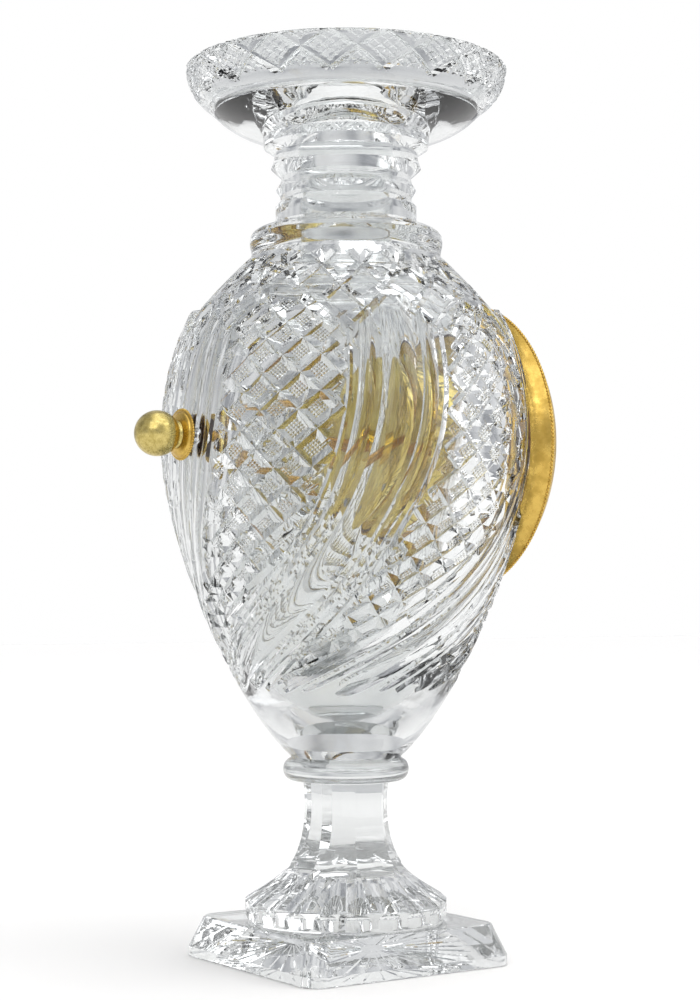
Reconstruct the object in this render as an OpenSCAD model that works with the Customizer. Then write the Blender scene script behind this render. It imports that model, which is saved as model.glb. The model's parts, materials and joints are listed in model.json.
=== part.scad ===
// Cut crystal baluster vase with a round clock let into its belly.
// Origin: centre of the plinth's underside. +Z is up, the dial faces -Y and
// the ball nut of the clamping rod stands out at +Y. Millimetres.

/* [Vase] */
// Overall height, plinth to rim
vase_h = 400; // [397:1:403]
// Largest radius of the belly
belly_r = 83.4; // [82.6:0.1:84]
// Height of the belly's widest circle, and of the clock's axis
clock_z = 230.5; // [229:0.5:232]
// Wall of the belly
wall_t = 6.5; // [5.5:0.5:7.5]
// Bore of the neck, radius
neck_bore_r = 21; // [18:0.5:24]
// Radius of the dish at its rim
rim_r = 72.7; // [71:0.1:74]

/* [Foot] */
// Side of the square plinth
plinth_side = 107; // [104:1:110]
// Height of the plinth
plinth_h = 18; // [16:1:20]
// Radius of the domed foot on the plinth
dome_r = 45; // [42:0.5:47]
// Narrowest circumradius of the eight-sided stem
stem_r = 18.3; // [16:0.1:20]

/* [Bezel] */
// Hole cut through the front of the belly, radius
hole_r = 58; // [57:0.5:58.5]
// Outer radius of the bezel's beaded edge
bezel_r = 66.8; // [66:0.1:67.2]
// Radius of the enamel dial
dial_r = 50.4; // [49:0.1:50.6]
// Radius of the drum that holds the movement
drum_r = 42; // [41.5:0.1:43]

/* [Rod and ball nut] */
// Radius of the clamping rod
rod_r = 2.5; // [2:0.1:3]
// Radius of the ball nut
ball_r = 9.1; // [8:0.1:10]
// Radius of the beaded washer under the ball nut
washer_r = 11.2; // [10:0.1:12]

/* [Motion work] */
// Teeth of the cannon pinion
cannon_teeth = 12; // [10:1:14]
// Teeth of the minute wheel
minute_teeth = 36; // [32:1:38]
// Teeth of the minute wheel's pinion
minute_pinion_teeth = 10; // [8:1:12]
// Teeth of the hour wheel
hour_teeth = 40; // [36:1:42]

/* [Going train] */
// Teeth of the great wheel on the barrel
barrel_teeth = 72; // [66:1:73]
// Teeth of the centre and third pinions
pinion_teeth = 10; // [8:1:10]
// Teeth of the centre wheel
centre_teeth = 60; // [56:1:62]
// Teeth of the third wheel
third_teeth = 36; // [32:1:40]

/* [Hidden] */
$fn = 96;
eps = 0.05;              // running clearance, radial
snug = 0.02;             // clearance of a pressed or threaded fit, radial
clearance = 0.3;         // clearance between separate bodies

// heights along the vase
merese_z = 79;
bowl_z = 90;
shoulder_z = 291;
neck_z = 330;
dish_z = 368;

// depths along the clock's axis, measured from the vase's axis to the front
seat_d = 56;             // where the countersink meets the hole
seat_slope = 0.914;      // rise of the countersink per unit of radius
gasket_t = 0.76;
floor_d = 55.5;          // back of the bezel's floor
floor_t = 2.5;
bezel_front_d = 67.8;
plate_t = 1.6;
front_plate_d = floor_d - plate_t;
flange_t = 1.5;
back_plate_d = 31;
drum_back_d = 18;
drum_t = 1.2;
dial_d = floor_d + floor_t + 1.7;
dial_t = 1.5;
door_d = bezel_front_d + clearance;
hinge_x = 65;
hinge_d = 69.7;
back_d = -belly_r;       // outside of the glass where the rod leaves it

// wheel centres, in the plane of the dial
motion_m = 0.6;
motion_a = motion_m * (cannon_teeth + minute_teeth) / 2;
hour_m = 2 * motion_a / (minute_pinion_teeth + hour_teeth);
train_m = 0.5;
barrel_a = train_m * (barrel_teeth + pinion_teeth) / 2;
third_a = train_m * (centre_teeth + pinion_teeth) / 2;
minute_angle = 30;
third_angle = 135;
barrel_at = [0, -barrel_a];
minute_at = motion_a * [cos(minute_angle), sin(minute_angle)];
third_at = third_a * [cos(third_angle), sin(third_angle)];
balance_at = [12, 14];
click_at = barrel_at + [10.5, 6];
pillar_a = 34;
ratchet_teeth = 24;

gilt = "goldenrod";
brass = "darkgoldenrod";
crystal = [0.86, 0.9, 0.93, 0.45];

// ---------- helpers ----------

// a point on the cubic curve through p[0] and p[3]
function bez(p, t) = pow(1 - t, 3) * p[0] + 3 * t * pow(1 - t, 2) * p[1]
    + 3 * t * t * (1 - t) * p[2] + pow(t, 3) * p[3];
function curve(p, n) = [for (i = [0:n]) bez(p, i / n)];

// the clock's own frame: x right, y up, z out towards the viewer
module on_clock() {
    translate([0, 0, clock_z]) rotate([90, 0, 0]) children();
}

module turn_at(at) {
    translate([at[0], at[1], 0]) children();
}

// a disc between two depths, with a hole through it
module disc(r, d0, d1, hole = 0) {
    difference() {
        translate([0, 0, d0]) cylinder(r = r, h = d1 - d0);
        if (hole > 0) translate([0, 0, d0 - 1]) cylinder(r = hole, h = d1 - d0 + 2);
    }
}

// a spur wheel; one tooth points along +x, or a gap does when gap is true
module gear(teeth, m, d0, d1, bore, gap = false) {
    pitch_r = teeth * m / 2;
    step = 360 / teeth;
    root = pitch_r - 1.2 * m;
    tip = pitch_r + 0.85 * m;
    turn = gap ? step / 2 : 0;
    points = [for (i = [0:teeth - 1]) each [
        for (s = [[-0.30, root], [-0.12, tip], [0.12, tip], [0.30, root]])
            s[1] * [cos((i + s[0]) * step + turn), sin((i + s[0]) * step + turn)]]];
    difference() {
        translate([0, 0, d0]) linear_extrude(d1 - d0) polygon(points);
        translate([0, 0, d0 - 1]) cylinder(r = bore, h = d1 - d0 + 2);
    }
}

module crossings(count, r_in, r_out, d0, d1) {
    for (i = [0:count - 1]) rotate(i * 360 / count + 45)
        translate([(r_in + r_out) / 2, 0, d0 - 1])
            cylinder(r = (r_out - r_in) / 2, h = d1 - d0 + 2);
}

// ---------- crystal ----------

module plinth() {
    corner_r = 9;
    flat_h = 4.5;
    taper = 5;
    half = plinth_side / 2;
    intersection() {
        linear_extrude(plinth_h) {
            square([plinth_side, plinth_side - 2 * corner_r], center = true);
            square([plinth_side - 2 * corner_r, plinth_side], center = true);
            for (x = [-1, 1], y = [-1, 1])
                translate([x, y] * (half - corner_r)) circle(r = corner_r);
        }
        union() {
            translate([0, 0, -1]) rotate(45)
                cylinder(r = half * sqrt(2), h = flat_h + 1, $fn = 4);
            translate([0, 0, flat_h]) rotate(45)
                cylinder(r1 = half * sqrt(2), r2 = (half - taper) * sqrt(2),
                         h = plinth_h - flat_h, $fn = 4);
        }
    }
}

// an eight-sided stem: four slabs with the same concave outline, crossed
module stem(outline) {
    intersection_for (i = [0:3]) rotate(45 * i)
        rotate([90, 0, 0]) linear_extrude(80, center = true)
            polygon(concat([for (p = outline) [p[0] * cos(22.5), p[1]]],
                [for (i = [len(outline) - 1:-1:0]) [-outline[i][0] * cos(22.5), outline[i][1]]]));
}

module foot() {
    dome_top = 40;
    color(crystal) {
        plinth();
        rotate_extrude() polygon(concat([[0, plinth_h - 1], [dome_r, plinth_h - 1]],
            curve([[dome_r, plinth_h + 2], [dome_r - 3, 30], [34, 34], [27, dome_top]], 8),
            [[0, dome_top]]));
        stem(curve([[31, dome_top - 3], [stem_r, 46], [stem_r - 0.5, 66], [19.4, merese_z]], 9));
    }
}

module merese() {
    rim = 27.9;
    color(crystal) rotate_extrude() polygon(concat([[0, merese_z], [19.4, merese_z]],
        curve([[24, merese_z + 1], [rim + 1.2, merese_z + 2], [rim + 1.2, bowl_z - 3],
               [24.5, bowl_z - 1]], 8),
        [[24.5, bowl_z], [0, bowl_z]]));
}

function belly_low() = curve([[24.5, bowl_z], [52, 115], [belly_r, 190], [belly_r, clock_z]], 14);
function belly_high() = curve([[belly_r, clock_z], [belly_r, 255], [78, 275], [68.5, shoulder_z]], 8);
function neck_outline() = [[62.5, 293.5], [54, 304.5], [46, 312], [43.2, 316], [43.4, 321],
    [41.5, 325], [37.5, 327.5], [33, neck_z - 0.5], [31.8, neck_z], [31.8, 337], [29.5, 339.5],
    [30.9, 344.5], [29.1, 350], [33.6, 354.5], [32, 357.5], [32, 361], [37.5, 364], [37.5, dish_z]];
function dish_outline() = curve([[37.5, dish_z], [62, 375], [71, 384], [rim_r, vase_h]], 10);
function dish_inside() = curve([[rim_r - 4.2, vase_h], [66, 385], [50, 378], [neck_bore_r, 375]], 8);
function belly_inside() = let (inner = belly_r - wall_t) concat(
    curve([[neck_bore_r, 318], [23, 312], [40, 306], [50, 297]], 6),
    curve([[50, 297], [64, 286], [inner, 262], [inner, clock_z]], 10),
    curve([[inner, clock_z], [inner, 180], [44, 120], [18, 106]], 12));

module bowl() {
    cut_r = bezel_r + 0.8;
    cone_top = seat_d + (cut_r - hole_r) * seat_slope;
    rod_hole_r = rod_r + 1;
    color(crystal) difference() {
        rotate_extrude() polygon(concat([[0, bowl_z]], belly_low(), belly_high(),
            neck_outline(), dish_outline(), dish_inside(), belly_inside(), [[0, 106]]));
        on_clock() {
            translate([0, 0, 20]) cylinder(r = hole_r, h = 80);
            translate([0, 0, seat_d])
                cylinder(r1 = hole_r, r2 = cut_r, h = cone_top - seat_d);
            translate([0, 0, cone_top]) cylinder(r = cut_r, h = 40);
            translate([0, 0, -belly_r - 10]) cylinder(r = rod_hole_r, h = 40);
        }
    }
}

// ---------- bezel, door and dial ----------

function seat(r, lift) = [r, seat_d + (r - hole_r) * seat_slope + lift];

module bezel_gasket() {
    gap = 0.08;
    color("saddlebrown") on_clock() rotate_extrude()
        polygon([seat(58.2, gap), seat(66, gap), seat(66, gap + gasket_t),
                 seat(58.2, gap + gasket_t)]);
}

module bezel() {
    lift = 0.92;
    bore = dial_r + 0.6;
    color(gilt) on_clock() difference() {
        rotate_extrude() polygon([[44.5, floor_d], [57.3, floor_d], seat(57.3, lift),
            seat(bezel_r - 0.4, lift), [bezel_r, 65.2], [bezel_r, 67.2], [bezel_r - 0.6, bezel_front_d],
            [bore, bezel_front_d], [bore, floor_d + floor_t], [44.5, floor_d + floor_t]]);
        screw_places() translate([0, 0, floor_d - 1]) cylinder(r = 1.25, h = 6);
    }
}

module screw_places() {
    for (a = [90, 210, 330]) rotate(a) translate([47.4, 0, 0]) children();
}

module bezel_lugs() {
    color(gilt) on_clock() for (s = [-1, 1]) difference() {
        translate([hinge_x, s * 5.2, 0]) union() {
            rotate([90, 0, 0]) translate([0, hinge_d, 0])
                cylinder(r = 1.6, h = 4, center = true, $fn = 48);
            translate([-1.2, -2, bezel_front_d]) cube([2.4, 4, hinge_d - bezel_front_d]);
        }
        translate([hinge_x, 0, hinge_d]) rotate([90, 0, 0])
            cylinder(r = 0.8, h = 30, center = true, $fn = 48);
    }
}

module hinge_pin() {
    color(brass) on_clock() translate([hinge_x, 0, hinge_d]) rotate([90, 0, 0])
        cylinder(r = 0.8, h = 14.8, center = true, $fn = 48);
}

module door_knuckle() {
    color(gilt) on_clock() difference() {
        union() {
            translate([hinge_x, 0, hinge_d]) rotate([90, 0, 0])
                cylinder(r = 1.6, h = 6, center = true, $fn = 48);
            translate([63, -3, hinge_d - 0.6]) cube([hinge_x - 63, 6, 1.6]);
        }
        translate([hinge_x, 0, hinge_d]) rotate([90, 0, 0])
            cylinder(r = 0.8 + eps, h = 20, center = true, $fn = 48);
    }
}

module door_ring() {
    color(gilt) on_clock() rotate_extrude() polygon([[56, door_d], [62.2, door_d],
        [63, door_d + 0.8], [63, door_d + 2.2], [61.2, door_d + 3.6], [59.5, door_d + 5.2],
        [56, door_d + 5.8], [53.2, door_d + 5], [53.2, door_d + 3.8], [56, door_d + 3.8]]);
}

module door_glass() {
    color([0.85, 0.9, 0.92, 0.3]) on_clock() disc(55.9, door_d + 1.7, door_d + 3.8);
}

module glass_retainer() {
    color(gilt) on_clock() disc(55.9, door_d + 0.1, door_d + 1.7, 51.6);
}

module dial_ring() {
    color(brass) on_clock() difference() {
        disc(dial_r, floor_d + floor_t, dial_d, 30);
        dial_foot_places() translate([0, 0, 50]) cylinder(r = 0.8, h = 20, $fn = 32);
    }
}

module dial() {
    color("ivory") on_clock() difference() {
        disc(dial_r, dial_d, dial_d + dial_t, 4.2);
        turn_at(barrel_at) translate([0, 0, dial_d - 1]) cylinder(r = 4, h = 5);
    }
}

module dial_foot_places() {
    for (s = [-1, 1]) translate([s * 38, 0, 0]) children();
}

module dial_feet() {
    color("peru") on_clock() dial_foot_places()
        translate([0, 0, 51]) cylinder(r = 0.8, h = dial_d - 51, $fn = 32);
}

module minute_hand() {
    color("dimgray") on_clock() {
        disc(4.2, 64.0, 64.7, 1.2);
        translate([0, 0, 64.0]) linear_extrude(0.7)
            polygon([[-1.5, 3.5], [-2.1, 24], [-0.4, 45], [0.4, 45], [2.1, 24], [1.5, 3.5]]);
    }
}

module hour_hand() {
    color("dimgray") on_clock() rotate(60) {
        disc(4.4, 62.2, 62.9, 2.6 + snug);
        translate([0, 0, 62.2]) linear_extrude(0.7)
            polygon([[-1.5, 3.6], [-3.4, 22], [0, 31], [3.4, 22], [1.5, 3.6]]);
    }
}

module hand_nut() {
    color(brass) on_clock() rotate_extrude()
        polygon([[1.2, 64.7], [2.1, 64.7], [1.7, 66.1], [1.2, 66.1]]);
}

// ---------- movement ----------

module plate_holes(d0) {
    turn_at(barrel_at) translate([0, 0, d0 - 1]) cylinder(r = 2.5 + eps, h = 5);
    turn_at(third_at) translate([0, 0, d0 - 1]) cylinder(r = 0.8 + eps, h = 5);
    translate([0, 0, d0 - 1]) cylinder(r = 1.2 + eps, h = 5);
}

module front_plate() {
    color(brass) on_clock() difference() {
        disc(50, front_plate_d, floor_d);
        plate_holes(front_plate_d);
        screw_places() translate([0, 0, front_plate_d - 1]) cylinder(r = 1.25, h = 5);
        dial_foot_places() translate([0, 0, front_plate_d - 1]) cylinder(r = 0.8, h = 5, $fn = 32);
        turn_at(click_at) translate([0, 0, front_plate_d - 1]) cylinder(r = 0.9, h = 5);
        turn_at(minute_at) translate([0, 0, front_plate_d - 1]) cylinder(r = 1 + eps, h = 5);
    }
}

module back_plate() {
    color(brass) on_clock() difference() {
        disc(38.5, back_plate_d, back_plate_d + plate_t);
        plate_holes(back_plate_d);
    }
}

module pillar(i) {
    color(brass) on_clock() rotate(45 + 90 * i) translate([pillar_a, 0, 0])
        disc(2.2, back_plate_d + plate_t, front_plate_d);
}

module rear_posts() {
    color(brass) on_clock() for (i = [0:3]) rotate(45 + 90 * i)
        translate([pillar_a, 0, 0]) disc(2.2, drum_back_d, back_plate_d, 1);
}

module movement_case() {
    color(gilt) on_clock() {
        disc(drum_r, drum_back_d, front_plate_d - flange_t, drum_r - drum_t);
        difference() {
            disc(50, front_plate_d - flange_t, front_plate_d, drum_r - drum_t);
            screw_places() translate([0, 0, 45]) cylinder(r = 1.25, h = 15);
        }
    }
}

module case_screws() {
    color("silver") on_clock() screw_places() {
        disc(1.25, front_plate_d - flange_t, floor_d + 1.8);
        difference() {
            disc(2.2, front_plate_d - flange_t - 1.3, front_plate_d - flange_t);
            translate([-3, -0.25, front_plate_d - flange_t - 2]) cube([6, 0.5, 1.2]);
        }
    }
}

module back_cover() {
    lip_r = drum_r - drum_t - eps;
    color(gilt) on_clock() difference() {
        union() {
            disc(drum_r, drum_back_d - 1.4, drum_back_d);
            disc(lip_r, drum_back_d, drum_back_d + 3, lip_r - 1.2);
            disc(7, 8, drum_back_d);
        }
        translate([0, 0, 7]) cylinder(r = rod_r, h = 10);
        for (i = [0:3]) rotate(45 + 90 * i) translate([pillar_a, 0, 10]) cylinder(r = 1, h = 20);
    }
}

module cover_screws() {
    face = drum_back_d - 1.4;
    color("silver") on_clock() for (i = [0:3]) rotate(45 + 90 * i) translate([pillar_a, 0, 0]) {
        disc(1, face, drum_back_d + 5);
        difference() {
            disc(2, face - 1.2, face);
            translate([-3, -0.25, face - 2]) cube([6, 0.5, 1.2]);
        }
    }
}

module barrel() {
    color(brass) on_clock() turn_at(barrel_at) {
        disc(16.5, 35, 36.2, 2.5 + eps);
        disc(16.5, 36.2, 45, 15.6);
        rotate(90) gear(barrel_teeth, train_m, 45, 46.4, 15.6);
    }
}

module barrel_cover() {
    color(brass) on_clock() turn_at(barrel_at) disc(15.6 - snug, 45.2, 46.4, 2.5 + eps);
}

module mainspring() {
    color("slategray") on_clock() turn_at(barrel_at) disc(15.2, 36.6, 44.6, 8);
}

module barrel_arbor() {
    color("silver") on_clock() turn_at(barrel_at) {
        disc(2.5, back_plate_d - 1, 57.4);
        disc(6, 36.8, 44.4);
        translate([0, 0, 57.4]) rotate(45) cylinder(r = 2.4, h = 3.4, $fn = 4);
    }
}

module ratchet_wheel() {
    r = 6.4;
    step = 360 / ratchet_teeth;
    points = [for (i = [0:ratchet_teeth - 1]) each
        [r * [cos(i * step), sin(i * step)], (r - 0.9) * [cos(i * step + 2), sin(i * step + 2)]]];
    color("silver") on_clock() turn_at(barrel_at) difference() {
        translate([0, 0, 55.8]) linear_extrude(1.2) polygon(points);
        translate([0, 0, 55]) cylinder(r = 2.5, h = 4);
    }
}

module click() {
    color("silver") on_clock() turn_at(click_at) difference() {
        union() {
            disc(2, 55.8, 57);
            translate([0, 0, 55.8]) linear_extrude(1.2)
                polygon([[-4.71, -5.6], [1.3, -1.1], [-1.3, 1.1]]);
            disc(0.85, 54, 55.8);
        }
        translate([-0.8, -0.2, 56.6]) cube([1.6, 0.4, 1]);
    }
}

module centre_arbor() {
    color("silver") on_clock() {
        disc(1.2, back_plate_d - 1, 65.6);
        rotate(-90) gear(pinion_teeth, train_m, 43.6, 48.4, 1.1, true);
    }
}

module centre_wheel() {
    color(brass) on_clock() rotate(third_angle) difference() {
        gear(centre_teeth, train_m, 49.5, 50.7, 1.2);
        crossings(4, 4, 12.6, 49.5, 50.7);
    }
}

module third_wheel() {
    color(brass) on_clock() turn_at(third_at) {
        disc(0.8, back_plate_d - 0.6, 55);
        rotate(third_angle + 180) gear(pinion_teeth, train_m, 48.5, 52, 0.7, true);
        disc(2.2, 35, 36.2);
        difference() {
            gear(third_teeth, train_m, 36.2, 37, 0.7);
            crossings(4, 2.6, 7.2, 36.2, 37);
        }
    }
}

module cannon_pinion() {
    color("silver") on_clock() {
        rotate(minute_angle) gear(cannon_teeth, motion_m, 56.2, 57.4, 1.2);
        disc(2.4, 57.4, 64.0, 1.2);
    }
}

module minute_wheel() {
    color(brass) on_clock() turn_at(minute_at) {
        disc(1, 54, 56.3);
        rotate(minute_angle + 180) {
            gear(minute_teeth, motion_m, 56.2, 57.4, 0.9, true);
            gear(minute_pinion_teeth, hour_m, 57.4, 59.0, 0.9);
        }
        disc(0.95, 56.2, 59.0);
    }
}

module hour_wheel() {
    pipe_r = 3.4;
    color(brass) on_clock() {
        rotate(minute_angle) gear(hour_teeth, hour_m, 57.7, 58.8, 2.4 + eps, true);
        disc(pipe_r, 58.8, 62.2, 2.4 + eps);
        disc(2.6, 62.2, 62.9, 2.4 + eps);
    }
}

module platform() {
    color(brass) on_clock() turn_at(balance_at) difference() {
        disc(10.5, back_plate_d - 1.6, back_plate_d);
        translate([0, 0, back_plate_d - 2.6]) cylinder(r = 0.5 + eps, h = 5, $fn = 32);
    }
}

module balance_cock() {
    post = back_plate_d - 1.6;
    color(brass) on_clock() turn_at(balance_at) difference() {
        union() {
            translate([8.9, -1.5, 21.5]) cube([1.4, 3, post - 21.5]);
            translate([-2, -1.5, 21.5]) cube([12.3, 3, 1.3]);
            disc(2.4, 21.5, 22.8);
        }
        translate([0, 0, 20.5]) cylinder(r = 0.5 + eps, h = 4, $fn = 32);
    }
}

module balance() {
    color(gilt) on_clock() turn_at(balance_at) {
        disc(0.5, 21.7, back_plate_d - 0.4);
        disc(1.2, 24.2, 26.6);
        disc(7.6, 25, 26.2, 6.4);
        translate([-7, -0.6, 25]) cube([14, 1.2, 1.2]);
    }
}

module regulator() {
    color("silver") on_clock() turn_at(balance_at) {
        disc(2.4, 20.9, 21.4, 1.2);
        translate([-8.5, -0.4, 20.9]) cube([6.6, 0.8, 0.5]);
    }
}

// ---------- clamping rod and ball nut ----------

module clamp_rod() {
    color(brass) on_clock() disc(rod_r, -100, 16);
}

module inner_nut() {
    color(brass) on_clock() difference() {
        translate([0, 0, -73.4]) cylinder(r = 5.2, h = 3.4, $fn = 6);
        translate([0, 0, -80]) cylinder(r = rod_r + snug, h = 20);
    }
}

module inner_washer() {
    color(gilt) on_clock() disc(9, -74.6, -73.4, rod_r + 0.1);
}

module inner_leather() {
    color("saddlebrown") on_clock() disc(8.6, -76.1, -74.6, rod_r + 0.1);
}

module outer_leather() {
    color("saddlebrown") on_clock() disc(8.6, back_d - 0.5, back_d - 0.05, rod_r + 0.1);
}

module rosette_washer() {
    face = back_d - 0.8;
    color(gilt) on_clock() rotate_extrude() polygon(concat(
        [[rod_r + eps, face], [washer_r, face], [washer_r, face - 1.3]],
        curve([[washer_r - 1, face - 1.4], [washer_r - 3, face - 2.4], [7, face - 3],
               [5, face - 3.2]], 5),
        [[rod_r + eps, face - 3.2]]));
}

module ball_nut() {
    neck_d = back_d - 4.05;
    ball_d = back_d - 14;
    color(gilt) on_clock() difference() {
        union() {
            translate([0, 0, ball_d]) cylinder(r = 4, h = neck_d - ball_d);
            translate([0, 0, ball_d]) sphere(r = ball_r);
        }
        translate([0, 0, -100.5]) cylinder(r = rod_r + eps, h = 20);
    }
}

foot();
merese();
bowl();
bezel_gasket();
bezel();
bezel_lugs();
hinge_pin();
dial_ring();
dial();
dial_feet();
front_plate();
back_plate();
for (i = [1:4]) pillar(i);
rear_posts();
movement_case();
case_screws();
back_cover();
cover_screws();
platform();
balance_cock();
clamp_rod();
inner_nut();
inner_washer();
inner_leather();
outer_leather();
door_ring();
door_knuckle();
door_glass();
glass_retainer();
centre_arbor();
centre_wheel();
cannon_pinion();
minute_hand();
hand_nut();
minute_wheel();
hour_wheel();
hour_hand();
barrel();
barrel_cover();
mainspring();
barrel_arbor();
ratchet_wheel();
click();
third_wheel();
balance();
regulator();
rosette_washer();
ball_nut();
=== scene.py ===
# %% [markdown]
# # A cut crystal vase with a clock in its belly
#
# The object is a baluster vase of lead crystal, about 400 mm high, with a round clock let into the
# front of its belly. A rod runs from the clock's drum through the glass behind it, and a gilt ball
# nut on a beaded washer clamps it there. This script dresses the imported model: it keeps the metal
# parts where the frame has them, and makes the cut glass, the beaded mouldings, the dial and the
# finishes. Everything is in metres, in the frame's own place.

# %% Load the frame
import json
import math

import bpy
from mathutils import Matrix, Vector


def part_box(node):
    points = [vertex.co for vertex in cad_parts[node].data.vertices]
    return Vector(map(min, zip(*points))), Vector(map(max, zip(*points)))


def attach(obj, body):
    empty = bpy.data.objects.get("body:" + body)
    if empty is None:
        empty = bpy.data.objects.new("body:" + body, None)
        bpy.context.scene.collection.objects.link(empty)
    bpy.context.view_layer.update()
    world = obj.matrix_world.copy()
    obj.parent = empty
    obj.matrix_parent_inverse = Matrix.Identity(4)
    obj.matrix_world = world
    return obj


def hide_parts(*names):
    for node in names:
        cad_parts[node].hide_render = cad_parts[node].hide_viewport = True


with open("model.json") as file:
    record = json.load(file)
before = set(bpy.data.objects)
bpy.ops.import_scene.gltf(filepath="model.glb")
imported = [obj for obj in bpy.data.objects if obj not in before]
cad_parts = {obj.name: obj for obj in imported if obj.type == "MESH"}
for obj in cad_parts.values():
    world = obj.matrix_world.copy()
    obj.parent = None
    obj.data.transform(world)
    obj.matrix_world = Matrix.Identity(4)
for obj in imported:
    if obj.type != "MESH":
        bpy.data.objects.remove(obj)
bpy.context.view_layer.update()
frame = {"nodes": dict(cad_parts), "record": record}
nodes = frame["nodes"]
scene = bpy.context.scene
MM = 0.001

# %% [markdown]
# ## Driving sizes
#
# Every size below is read off the frame, or is a real size of the cutting in millimetres. The
# clock's axis is level and runs from front (-Y) to back (+Y) through the middle of the drum.

# %% Sizes taken from the frame
bowl_low, bowl_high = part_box("bowl")
drum_low, drum_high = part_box("movement_case")
bezel_low, bezel_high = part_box("bezel")
dial_low, dial_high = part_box("dial")
merese_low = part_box("merese")[0]
foot_low, foot_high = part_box("foot")
TOP = bowl_high.z / MM
BELLY = (bowl_high.x - bowl_low.x) / 2 / MM
CLOCK_Z = (dial_high.z + dial_low.z) / 2 / MM
BOWL_Z = bowl_low.z / MM
MERESE_Z = merese_low.z / MM
BEZEL_R = (bezel_high.x - bezel_low.x) / 2 / MM
BEZEL_FRONT = -bezel_low.y / MM
DIAL_R = (dial_high.x - dial_low.x) / 2 / MM
DIAL_FRONT = -dial_low.y / MM
HALF_PLINTH = (foot_high.x - foot_low.x) / 2 / MM
print("height", round(TOP, 1), "belly radius", round(BELLY, 1), "clock axis at", round(CLOCK_Z, 1))

# %% [markdown]
# ## Working like a glass cutter
#
# A cut crystal body starts as a thick blown blank. The cutter holds it against turning stone
# wheels: a wheel with a V edge leaves a mitre cut, a wheel with a round edge leaves a hollow
# flute. So the script does the same. It turns a blank on a lathe (an outline, spun), and runs
# wheel shapes along paths marked on it. Each run is a solid, and a Boolean takes it away.

# %% Helpers: edit mode, the lathe and the joiner
def only(obj):
    """Makes obj the one selected and active object."""
    bpy.ops.object.select_all(action="DESELECT")
    obj.select_set(True)
    bpy.context.view_layer.objects.active = obj


def curve(p, n):
    """Points along a cubic curve with the control points p."""
    out = []
    for i in range(n + 1):
        t = i / n
        w = ((1 - t) ** 3, 3 * t * (1 - t) ** 2, 3 * t * t * (1 - t), t ** 3)
        out.append(tuple(sum(w[k] * p[k][j] for k in range(4)) for j in (0, 1)))
    return out


def lathe(name, outline, steps=192, clock=False, closed=False):
    """Spins an outline in mm about the vase's axis, or about the clock's.

    An outline point is (radius, height), or for the clock (radius, depth towards the viewer)."""
    def place(p):
        if clock:
            return Vector((p[0], -p[1], CLOCK_Z)) * MM
        return Vector((p[0], 0, p[1])) * MM
    bpy.ops.mesh.primitive_plane_add(size=MM, location=(0, 0, 0))
    obj = bpy.context.object
    obj.name = name
    bpy.ops.object.mode_set(mode="EDIT")
    bpy.ops.mesh.select_all(action="SELECT")
    bpy.ops.mesh.merge(type="CENTER")
    here = place(outline[0])
    bpy.ops.transform.translate(value=here)
    rest = outline[1:] + ([outline[0]] if closed else [])
    for p in rest:
        there = place(p)
        bpy.ops.mesh.extrude_vertices_move(TRANSFORM_OT_translate={"value": there - here})
        here = there
    bpy.ops.mesh.select_all(action="SELECT")
    centre = (0, 0, CLOCK_Z * MM) if clock else (0, 0, 0)
    axis = (0, -1, 0) if clock else (0, 0, 1)
    bpy.ops.mesh.spin(steps=steps, angle=2 * math.pi, center=centre, axis=axis)
    bpy.ops.mesh.select_all(action="SELECT")
    bpy.ops.mesh.remove_doubles(threshold=0.002 * MM)
    bpy.ops.mesh.normals_make_consistent(inside=False)
    bpy.ops.object.mode_set(mode="OBJECT")
    return obj


def solid(name, verts, faces):
    """A mesh object from points in metres and faces, with its normals made to face out."""
    mesh = bpy.data.meshes.new(name)
    mesh.from_pydata([tuple(v) for v in verts], [], faces)
    obj = bpy.data.objects.new(name, mesh)
    scene.collection.objects.link(obj)
    only(obj)
    bpy.ops.object.mode_set(mode="EDIT")
    bpy.ops.mesh.select_all(action="SELECT")
    bpy.ops.mesh.normals_make_consistent(inside=False)
    bpy.ops.object.mode_set(mode="OBJECT")
    return obj


def carve(obj, cutter, operation="DIFFERENCE"):
    """Takes the cutter away from obj (or does another Boolean), and deletes the cutter."""
    only(obj)
    cut = obj.modifiers.new("cut", "BOOLEAN")
    cut.operation = operation
    cut.solver = "MANIFOLD"
    cut.object = cutter
    bpy.ops.object.modifier_apply(modifier=cut.name)
    bpy.data.objects.remove(cutter)
    return obj


def crease(obj, degrees=14):
    """Smooths the curved stretches and leaves every cut edge sharp."""
    only(obj)
    bpy.ops.object.shade_smooth_by_angle(angle=math.radians(degrees))
    weigh = obj.modifiers.new("weigh", "WEIGHTED_NORMAL")
    weigh.keep_sharp = True
    bpy.ops.object.modifier_apply(modifier=weigh.name)
    return obj


print("helpers ready")

# %% [markdown]
# ## The blank
#
# The belly is two cubic curves that meet at the widest circle, with a step at the shoulder where
# the cut zone stands about 4 mm proud of the plain glass. The neck is a stack of turned rings with
# V edges, and the dish flares out of it. The inside is one smooth hollow down to a thick base.

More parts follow.
